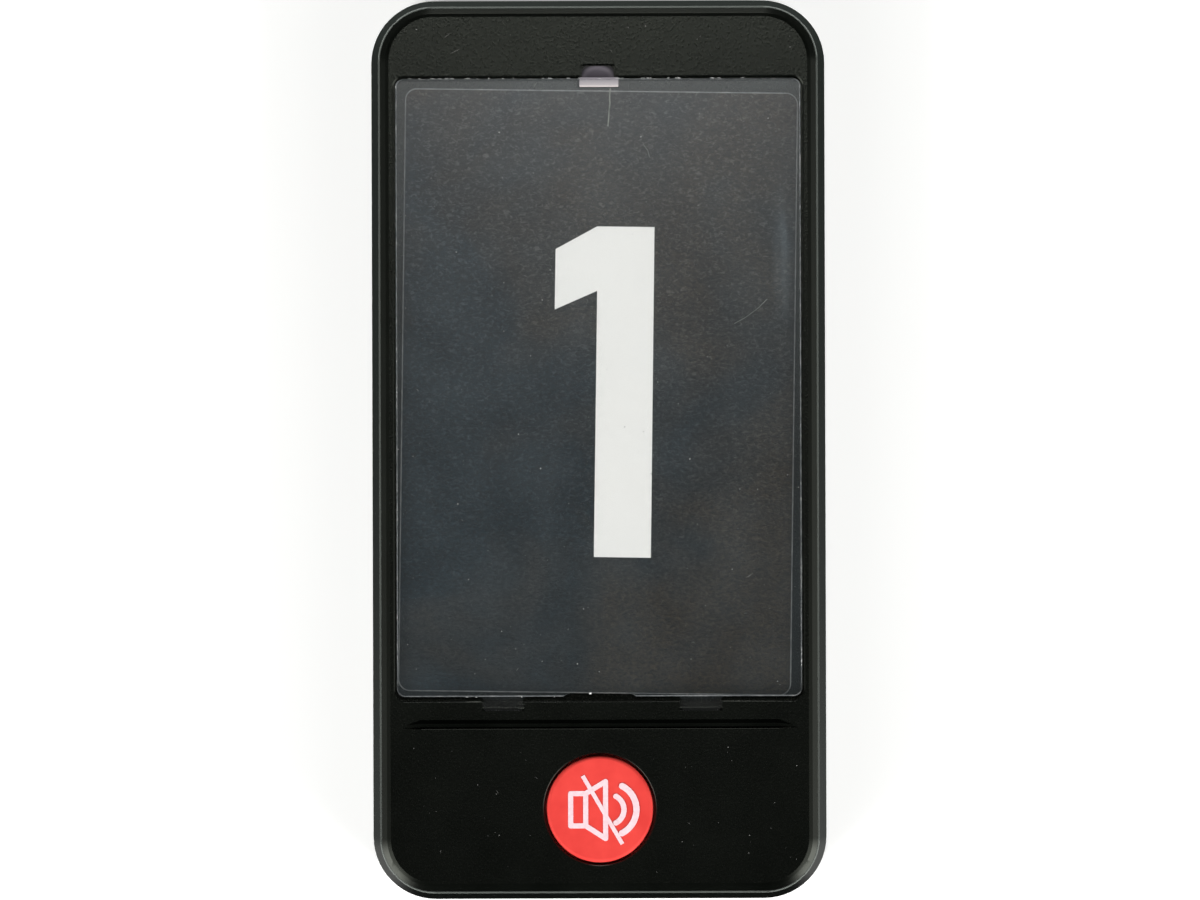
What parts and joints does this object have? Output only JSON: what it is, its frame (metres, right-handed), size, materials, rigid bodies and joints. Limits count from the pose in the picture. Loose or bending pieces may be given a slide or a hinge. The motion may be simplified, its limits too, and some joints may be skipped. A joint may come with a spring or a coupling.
{
  "type": "guest pager",
  "caption": "Flat hand-held guest pager with a numbered card under a clear lift-up cover and a round mute button below the window.",
  "frame": {"origin": "middle of the flat back face, on which the pager lies", "axes": "+X to the pager's right, +Y to its top end, +Z out of its face"},
  "size_m": [0.054, 0.107, 0.013],
  "materials": {
    "case_black": "black moulded plastic with a fine spark texture and worn glossy edges",
    "cover_clear": "clear moulded sheet with fine scratches and bright cut edges",
    "card_dark": "dark grained card with a printed numeral",
    "panel_milky": "milky diffuser",
    "button_red": "satin red moulded cap with a printed symbol",
    "silicone_grey": "soft silicone",
    "carbon_black": "matt conductive rubber",
    "contact_gold": "gold-plated metal",
    "board_green": "satin solder mask",
    "chip_black": "matt moulded epoxy",
    "shield_metal": "tinned sheet metal",
    "lamp_white": "pale lamp body",
    "cell_foil": "silver pouch foil",
    "tape_foam": "double-sided tape",
    "lead_red": "insulated wire",
    "lead_black": "insulated wire",
    "connector_white": "pale nylon",
    "screw_steel": "zinc-plated steel",
    "weight_metal": "sintered heavy metal",
    "boot_rubber": "matt rubber",
    "knob_black": "matt moulded plastic"
  },
  "bodies": {
    "root": {"front_housing": "case_black", "rear_housing": "case_black", "number_card": "card_dark", "light_panel": "panel_milky", "button_dome": "silicone_grey", "contact_pads": "contact_gold", "circuit_board": "board_green", "microcontroller": "chip_black", "radio_module": "shield_metal", "antenna_wire": "contact_gold", "indicator_lamps": "lamp_white", "buzzer": "chip_black", "battery_cell": "cell_foil", "battery_tape": "tape_foam", "battery_lead_red": "lead_red", "battery_lead_black": "lead_black", "battery_connector": "connector_white", "motor_can": "shield_metal", "motor_end_cap": "connector_white", "motor_boot": "boot_rubber", "motor_leads": "lead_black", "switch_case": "shield_metal", "charging_contact_left": "contact_gold", "charging_contact_right": "contact_gold", "charging_springs": "contact_gold", "case_screws": "screw_steel", "board_screws": "screw_steel"},
    "button": {"mute_button": "button_red", "contact_pill": "carbon_black"},
    "cover": {"clear_cover": "cover_clear"},
    "rotor": {"motor_shaft": "screw_steel", "motor_weight": "weight_metal"},
    "power_knob": {"switch_knob": "knob_black"}
  },
  "joints": [
    {"name": "button_press", "type": "slide", "parent": "root", "child": "button", "axis": [0, 0, -1], "range_m": [0, 0.0008], "stiffness_N_per_m": 1500, "springref_m": -0.0004, "deforming": ["button_dome"]},
    {"name": "cover_hinge", "type": "hinge", "parent": "root", "child": "cover", "pos_m": [0, -0.03097, 0.01208], "axis": [1, 0, 0], "range_deg": [0, 50]},
    {"name": "motor_spin", "type": "hinge", "parent": "root", "child": "rotor", "pos_m": [0, 0.0473, 0.00547], "axis": [1, 0, 0], "continuous": true},
    {"name": "power_slide", "type": "slide", "parent": "root", "child": "power_knob", "axis": [1, 0, 0], "range_m": [0, 0.002]}
  ]
}
